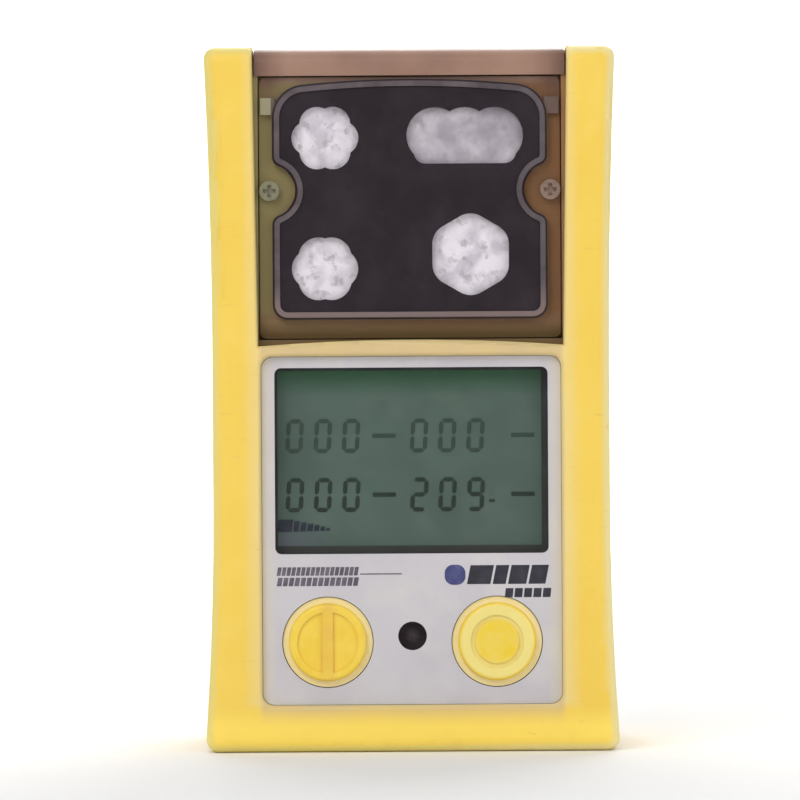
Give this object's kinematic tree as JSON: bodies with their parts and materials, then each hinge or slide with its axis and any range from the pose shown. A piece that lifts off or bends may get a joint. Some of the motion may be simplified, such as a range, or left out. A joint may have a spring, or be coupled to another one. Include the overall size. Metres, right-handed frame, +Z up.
{
  "type": "portable gas detector",
  "caption": "Handheld multi-gas detector with a black case in an elastomer boot, sensor ports, display, push buttons, alarm light and a sprung belt clip.",
  "frame": {"origin": "on the resting face, under the middle of the boot's width and depth", "axes": "+X right as the user faces the display, +Y from the display to the back, +Z up towards the alarm light"},
  "size_m": [0.0636, 0.0444, 0.1084],
  "materials": {
    "boot_elastomer": "fine matt, overmoulding elastomer",
    "case_plastic": "fine texture, black",
    "cover_plastic": "smooth, black",
    "seal_rubber": "matt, dark grey",
    "zinc_steel": "zinc plated",
    "black_steel": "blackened",
    "spring_steel": "bright wire",
    "clip_steel": "nickel plated sheet",
    "insert_brass": "turned",
    "contact_gold": "gold plated",
    "label_film": "printed polyester film, light grey",
    "window_plastic": "clear polycarbonate",
    "lcd_glass": "liquid crystal glass, grey-green",
    "light_guide": "white diffuser",
    "zebra_silicone": "striped silicone",
    "white_plastic": "moulded, white",
    "grey_plastic": "moulded, dark grey",
    "button_elastomer": "smooth, yellow",
    "dome_silicone": "translucent silicone",
    "filter_membrane": "white gas membrane",
    "sounder_mesh": "dark acoustic mesh",
    "rating_film": "blank polyester film, silvery",
    "dull_zinc": "worn zinc plate",
    "sounder_plastic": "black",
    "board_laminate": "green solder mask",
    "flex_film": "amber polyimide",
    "sensor_white": "moulded, white",
    "sensor_steel": "sintered disc in a steel can",
    "shield_tin": "tinned sheet",
    "alarm_lens": "smoked red translucent",
    "led_package": "white package",
    "cell_wrap": "blue wrap",
    "motor_steel": "drawn can",
    "weight_tungsten": "sintered"
  },
  "bodies": {
    "body": {"protective_boot": "boot_elastomer", "front_shell": "case_plastic", "rear_shell": "case_plastic", "shell_gasket": "seal_rubber", "case_screws": "black_steel", "screw_inserts": "insert_brass", "fascia_label": "label_film", "rear_label": "rating_film", "display_window": "window_plastic", "lcd_panel": "lcd_glass", "lcd_frame": "white_plastic", "backlight": "light_guide", "zebra_strips": "zebra_silicone", "display_board": "board_laminate", "display_board_screws": "zinc_steel", "board_link": "flex_film", "mode_return_dome": "dome_silicone", "enter_return_dome": "dome_silicone", "sounder_membrane": "sounder_mesh", "sounder_gasket": "seal_rubber", "sounder": "sounder_plastic", "sensor_cover": "cover_plastic", "cover_seal": "seal_rubber", "cover_screws": "dull_zinc", "sensor_holder": "grey_plastic", "main_board": "board_laminate", "main_board_screws": "zinc_steel", "processor_shield": "shield_tin", "battery_connector": "white_plastic", "led_strip": "board_laminate", "alarm_leds": "led_package", "alarm_light": "alarm_lens", "battery_pack": "cell_wrap", "battery_board": "board_laminate", "battery_cradle": "grey_plastic", "vibration_motor": "motor_steel", "motor_mount": "seal_rubber", "charging_contacts": "contact_gold", "contact_block": "grey_plastic", "clip_bracket": "clip_steel", "clip_screws": "zinc_steel", "clip_pin": "zinc_steel", "clip_spring": "spring_steel", "carbon_monoxide_filter": "filter_membrane", "oxygen_filter": "filter_membrane", "hydrogen_sulfide_filter": "filter_membrane", "combustible_filter": "filter_membrane", "carbon_monoxide_sensor": "sensor_white", "oxygen_sensor": "sensor_white", "hydrogen_sulfide_sensor": "sensor_white", "combustible_sensor": "sensor_steel"},
    "mode_button": {"mode_button": "button_elastomer"},
    "enter_button": {"enter_button": "button_elastomer"},
    "belt_clip": {"clip_lever": "clip_steel"},
    "vibration_weight": {"motor_weight": "weight_tungsten"}
  },
  "joints": [
    {"name": "mode_press", "type": "slide", "parent": "body", "child": "mode_button", "axis": [0, 1, 0], "range_m": [0, 0.0008], "stiffness_N_per_m": 400, "springref_m": -0.001, "deforming": ["mode_return_dome"]},
    {"name": "enter_press", "type": "slide", "parent": "body", "child": "enter_button", "axis": [0, 1, 0], "range_m": [0, 0.0008], "stiffness_N_per_m": 400, "springref_m": -0.001, "deforming": ["enter_return_dome"]},
    {"name": "clip_opening", "type": "hinge", "parent": "body", "child": "belt_clip", "pos_m": [0, 0.01897, 0.0714], "axis": [1, 0, 0], "range_deg": [0, 20], "stiffness_Nm_per_rad": 0.3, "springref_deg": -28.65, "deforming": ["clip_spring"]},
    {"name": "weight_spin", "type": "hinge", "parent": "body", "child": "vibration_weight", "pos_m": [0.0081, -0.00302, 0.05], "axis": [1, 0, 0], "continuous": true}
  ]
}
